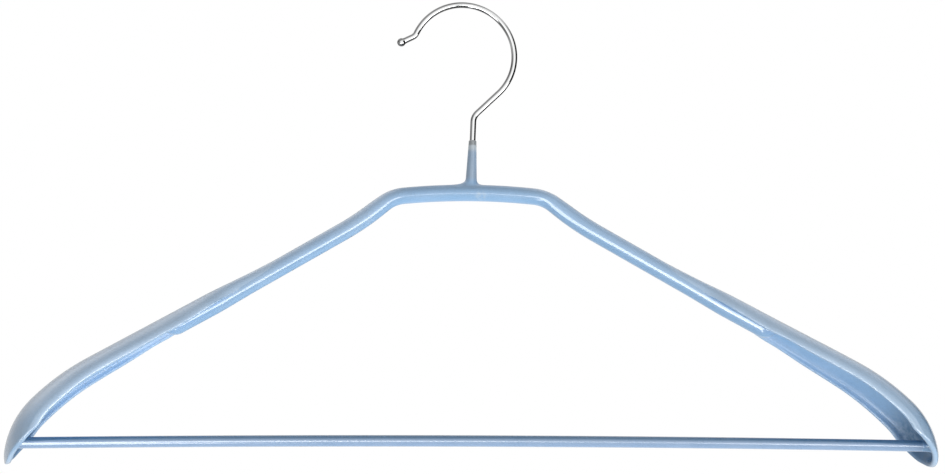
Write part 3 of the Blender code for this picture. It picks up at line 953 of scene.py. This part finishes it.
# Rings round the stem: over the lip as a quarter circle, down the taper, and out to the foot along
# Bezier curves.
def makeStemSleeve(material):
    sides = sleeve["sides"]
    angle = np.arange(sides) * 2 * pi / sides
    side = np.array([-stemUp[2], 0.0, stemUp[0]])
    ring = np.cos(angle)[:, None] * side + np.sin(angle)[:, None] * np.array([0.0, 1.0, 0.0])
    wireRadius = hook["wireDia"] / 2
    topRadius, neckRadius = sleeve["topDia"] / 2, sleeve["neckDia"] / 2
    lip = np.linspace(0.0, pi / 2, sleeve["lipSteps"])
    taperRises = np.linspace(sleeve["rise"] - sleeve["lip"], sleeve["flareRise"], sleeve["taperSteps"])
    rises = np.concatenate([sleeve["rise"] - sleeve["lip"] * (1 - np.cos(lip)), taperRises[1:]])
    taperShare = (sleeve["rise"] - rises) / (sleeve["rise"] - sleeve["flareRise"])
    sizes = topRadius + (neckRadius - topRadius) * taperShare
    sizes[:len(lip)] = wireRadius + (sizes[len(lip) - 1] - wireRadius) * np.sin(lip)
    taper = foot + stemUp * rises[:, None, None] + ring * sizes[:, None, None]
    first = taper[-1]
    last = flareFoot(1.0, 0.0)
    outward = last - flareFoot(sleeve["footShare"], 0.0)
    outward /= np.linalg.norm(outward, axis=1)[:, None]
    drop = np.linalg.norm(last - first, axis=1)[:, None]
    fall = np.abs((first - last) @ stemUp)[:, None]
    leave = first - stemUp * fall * sleeve["leaveShare"]
    spread = np.sqrt(np.maximum(drop ** 2 - fall ** 2, 0.0))
    reach = last - outward * spread * sleeve["reachShare"]
    grid = np.concatenate([
        pointRow(foot + stemUp * sleeve["rise"], sides),
        taper,
        bezierRows(first, leave, reach, last, sleeve["flareSteps"])[1:],
        flareFoot(sleeve["sinkShare"], sleeve["sink"])[None],
        pointRow(foot, sides),
    ])
    return gridPiece("stemSleeve", grid, material, "sleeve_coat", "stem_sleeve", rise=(grid - foot) @ stemUp)


makeHookWire(chrome)
makeArmTube(tubeCoat)
makeShell("shoulderShellLeft", -1, shellCoat, "shoulder_shell_left")
makeShell("shoulderShellRight", 1, shellCoat, "shoulder_shell_right")
makeTrouserBar(barCoat)
makeBarWeld("barWeldLeft", -1, filletCoat, "bar_weld_left")
makeBarWeld("barWeldRight", 1, filletCoat, "bar_weld_right")
makeStemSleeve(sleeveCoat)
print("pieces made")


# Camera: a long lens that looks slightly up and from the left, as the photo's does.
camera = {
    "target": (0.002977, 0.0, -0.104835),
    "yaw": -7.14,
    "pitch": -10.20,
    "roll": -0.92,
    "distance": 4.418,
    "lens": 374.94,
    "clipEnd": 100.0,
}


def makeCamera():
    yaw, pitch, roll = radians(camera["yaw"]), radians(camera["pitch"]), radians(camera["roll"])
    right = Vector((cos(yaw), sin(yaw), 0.0))
    back = Vector((sin(yaw) * cos(pitch), -cos(yaw) * cos(pitch), sin(pitch)))
    up = back.cross(right)
    turned = right * cos(roll) + up * sin(roll)
    tilted = up * cos(roll) - right * sin(roll)
    data = bpy.data.cameras.new("camera")
    data.lens = camera["lens"]
    data.clip_end = camera["clipEnd"]
    obj = bpy.data.objects.new("camera", data)
    obj.matrix_world = Matrix.Translation(Vector(camera["target"]) + back * camera["distance"]) @ Matrix(
        (turned, tilted, back)).transposed().to_4x4()
    bpy.context.scene.collection.objects.link(obj)
    bpy.context.scene.camera = obj


# Floor and light. Turns go in degrees from the viewer's side round to the right, and lifts from the
# horizon up. A pair says where a change starts and ends.
studio = {
    "white": (1.0, 1.0, 1.0, 1.0),
    "above": 0.14,  # levels of the soft light from above and below the horizon
    "below": 1.24,
    "horizon": (-0.12, 0.12),  # heights on a sphere of radius 1, as toBehind's are depths
    "behind": 0.65,  # share of the soft light that is left behind the object
    "toBehind": (-0.3, 0.5),
    "fromRight": 0.5,
    "wall": 0.65,  # levels that glossy surfaces see: walls, and below them
    "underWall": 0.25,
    "wallLift": (-24.0, 0.0),
    "frontLow": 2.3,
    "frontMiddle": 1.5,
    "frontHigh": 1.5,
    "frontLeft": (-46.0, -20.0),
    "frontRight": (40.0, 60.0),
    "frontLift": (-20.0, -10.0),
    "middleTurn": 5.0,
    "middleSides": (8.0, 18.0),
    "lowToHigh": (-8.0, 32.0),
    "flag": 0.03,
    "flagLeft": (33.0, 47.0),
    "flagRight": (144.0, 160.0),
    "flagLift": (36.0, 50.0),
    "backdrop": 0.65,
    "backdropTurn": (150.0, 165.0),
    "dome": 1.7,
    "domeBehind": 1.1,
    "domeAhead": 1.4,
    "domeBehindTurn": (150.0, 172.0),
    "domeAheadTurn": (38.0, 62.0),
    "domeToRight": -0.35,
    "domeLift": (20.0, 58.0),
    "floor": 0.05,
    "floorLift": (-62.0, -50.0),
    "floorHeight": -1.3,
    "floorSize": 14.0,
    "floorColour": (0.80, 0.80, 0.80, 1.0),
    "floorGlow": 0.80,
    "lampAim": (0.0, 0.0, -0.12),
}


# Soft rectangular lamp, given by the brightness of its face.
def addLamp(name, place, size, roll, radiance, forGloss):
    data = bpy.data.lights.new(name, "AREA")
    data.shape = "RECTANGLE"
    data.size, data.size_y = size
    data.energy = radiance * pi * size[0] * size[1]
    lamp = bpy.data.objects.new(name, data)
    lamp.location = place
    facing = (Vector(studio["lampAim"]) - Vector(place)).to_track_quat("-Z", "Y").to_matrix()
    lamp.rotation_euler = (facing @ Matrix.Rotation(radians(roll), 3, "Z")).to_euler()
    lamp.visible_camera = False
    lamp.visible_diffuse = not forGloss
    lamp.visible_glossy = forGloss
    bpy.context.scene.collection.objects.link(lamp)


# The camera sees a white room. Soft light comes from all sides, most of it from below. Glossy surfaces
# see levels by direction that were fitted to the photo's highlights: walls, a bright front, a dark
# flag to the right, a backdrop, a dome and a dim floor.
def makeWorld():
    world = bpy.data.worlds.new("room")
    world.use_nodes = True
    world.cycles.sampling_method = "NONE"
    bpy.context.scene.world = world
    tree = world.node_tree
    tree.nodes.clear()
    axes = addNode(tree, "SeparateXYZ", {0: addNode(tree, "TexCoord").outputs["Generated"]}).outputs
    turn = calc(tree, "ARCTAN2", axes[0], calc(tree, "MULTIPLY", axes[1], -1.0))
    aside = calc(tree, "ABSOLUTE", turn)
    lift = calc(tree, "ARCSINE", axes[2])

    def toLevel(share, level, target):
        return addNode(tree, "Mix", {0: share, 2: level, 3: target}).outputs[0]

    def step(value, limits, start=0.0, end=1.0):
        low, high = studio[limits]
        return fade(tree, value, radians(low), radians(high), start, end)

    def background(level):
        return addNode(tree, "Background", {"Color": studio["white"], "Strength": level}).outputs[0]

    front = calc(tree, "MULTIPLY", step(turn, "frontRight", 1.0, 0.0), step(turn, "frontLeft"))
    front = calc(tree, "MULTIPLY", front, step(lift, "frontLift"))
    flagged = calc(tree, "MULTIPLY", step(turn, "flagLeft"), step(turn, "flagRight", 1.0, 0.0))
    flagged = calc(tree, "MULTIPLY", flagged, step(calc(tree, "ABSOLUTE", lift), "flagLift", 1.0, 0.0))
    level = step(lift, "wallLift", studio["underWall"], studio["wall"])
    fromMiddle = calc(tree, "SUBTRACT", turn, radians(studio["middleTurn"]))
    beside = step(calc(tree, "ABSOLUTE", fromMiddle), "middleSides")
    low = toLevel(beside, studio["frontMiddle"], studio["frontLow"])
    level = toLevel(front, level, toLevel(step(lift, "lowToHigh"), low, studio["frontHigh"]))
    level = toLevel(flagged, level, studio["flag"])
    level = toLevel(step(aside, "backdropTurn"), level, studio["backdrop"])
    dome = toLevel(step(aside, "domeBehindTurn"), studio["dome"], studio["domeBehind"])
    dome = toLevel(step(aside, "domeAheadTurn", 1.0, 0.0), dome, studio["domeAhead"])
    dome = calc(tree, "MULTIPLY", dome, calc(tree, "MULTIPLY_ADD", axes[0], studio["domeToRight"], 1.0))
    level = toLevel(step(lift, "domeLift"), level, dome)
    level = toLevel(step(lift, "floorLift", 1.0, 0.0), level, studio["floor"])
    soft = fade(tree, axes[2], *studio["horizon"], studio["below"], studio["above"])
    soft = calc(tree, "MULTIPLY", soft, fade(tree, axes[1], *studio["toBehind"], 1.0, studio["behind"]))
    soft = calc(tree, "MULTIPLY", soft, calc(tree, "MULTIPLY_ADD", axes[0], studio["fromRight"], 1.0))
    path = addNode(tree, "LightPath").outputs
    lit = addNode(tree, "MixShader", {0: path["Is Diffuse Ray"], 1: background(level), 2: background(soft)})
    seen = addNode(tree, "MixShader", {0: path["Is Camera Ray"], 1: lit.outputs[0], 2: background(1.0)})
    addNode(tree, "OutputWorld", {0: seen.outputs[0]})


# Pale floor below the hanging object. Only the camera sees it, and only from above. All other rays
# pass to the room, which holds the floor's light already.
def makeFloor():
    half, height = studio["floorSize"] / 2, studio["floorHeight"]
    mesh = bpy.data.meshes.new("floor")
    corners = [(-half, -half, height), (half, -half, height), (half, half, height), (-half, half, height)]
    mesh.from_pydata(corners, [], [(0, 1, 2, 3)])
    material = bpy.data.materials.new("floorPaper")
    material.use_nodes = True
    tree = material.node_tree
    tree.nodes.clear()
    paper = addNode(tree, "BsdfDiffuse", {"Color": studio["floorColour"]})
    glow = addNode(tree, "Emission", {"Color": studio["white"], "Strength": studio["floorGlow"]})
    both = addNode(tree, "AddShader", {0: paper.outputs[0], 1: glow.outputs[0]})
    clear = addNode(tree, "BsdfTransparent")
    fromAbove = calc(tree, "SUBTRACT", 1.0, addNode(tree, "NewGeometry").outputs["Backfacing"])
    share = calc(tree, "MULTIPLY", addNode(tree, "LightPath").outputs["Is Camera Ray"], fromAbove)
    seen = addNode(tree, "MixShader", {0: share, 1: clear.outputs[0], 2: both.outputs[0]})
    addNode(tree, "OutputMaterial", {0: seen.outputs[0]})
    mesh.materials.append(material)
    floor = bpy.data.objects.new("floor", mesh)
    bpy.context.scene.collection.objects.link(floor)


makeCamera()
makeWorld()
makeFloor()
# The low lamps draw highlights along the arms, rims and crown, for gloss alone. The barEndLamp is only
# for the one on the bar's left end. The lamp behind gives soft light alone.
for name, place, size, roll, radiance, forGloss in (
    ("lowRightLamp", (0.96, -1.29, -0.704), (1.40, 0.50), 9.0, 5.6, True),
    ("lowLeftLamp", (-0.52, -1.37, -0.98), (1.95, 0.50), 25.0, 5.6, True),
    ("barEndLamp", (-0.09, -0.762, -0.848), (0.14, 0.65), 0.0, 5.6, True),
    ("topBackLamp", (0.0, 0.75, 1.18), (1.4, 1.0), 0.0, 1.8, False),
):
    addLamp(name, place, size, roll, radiance, forGloss)
bpy.context.scene.view_settings.view_transform = "Standard"
print("camera, floor and light set")
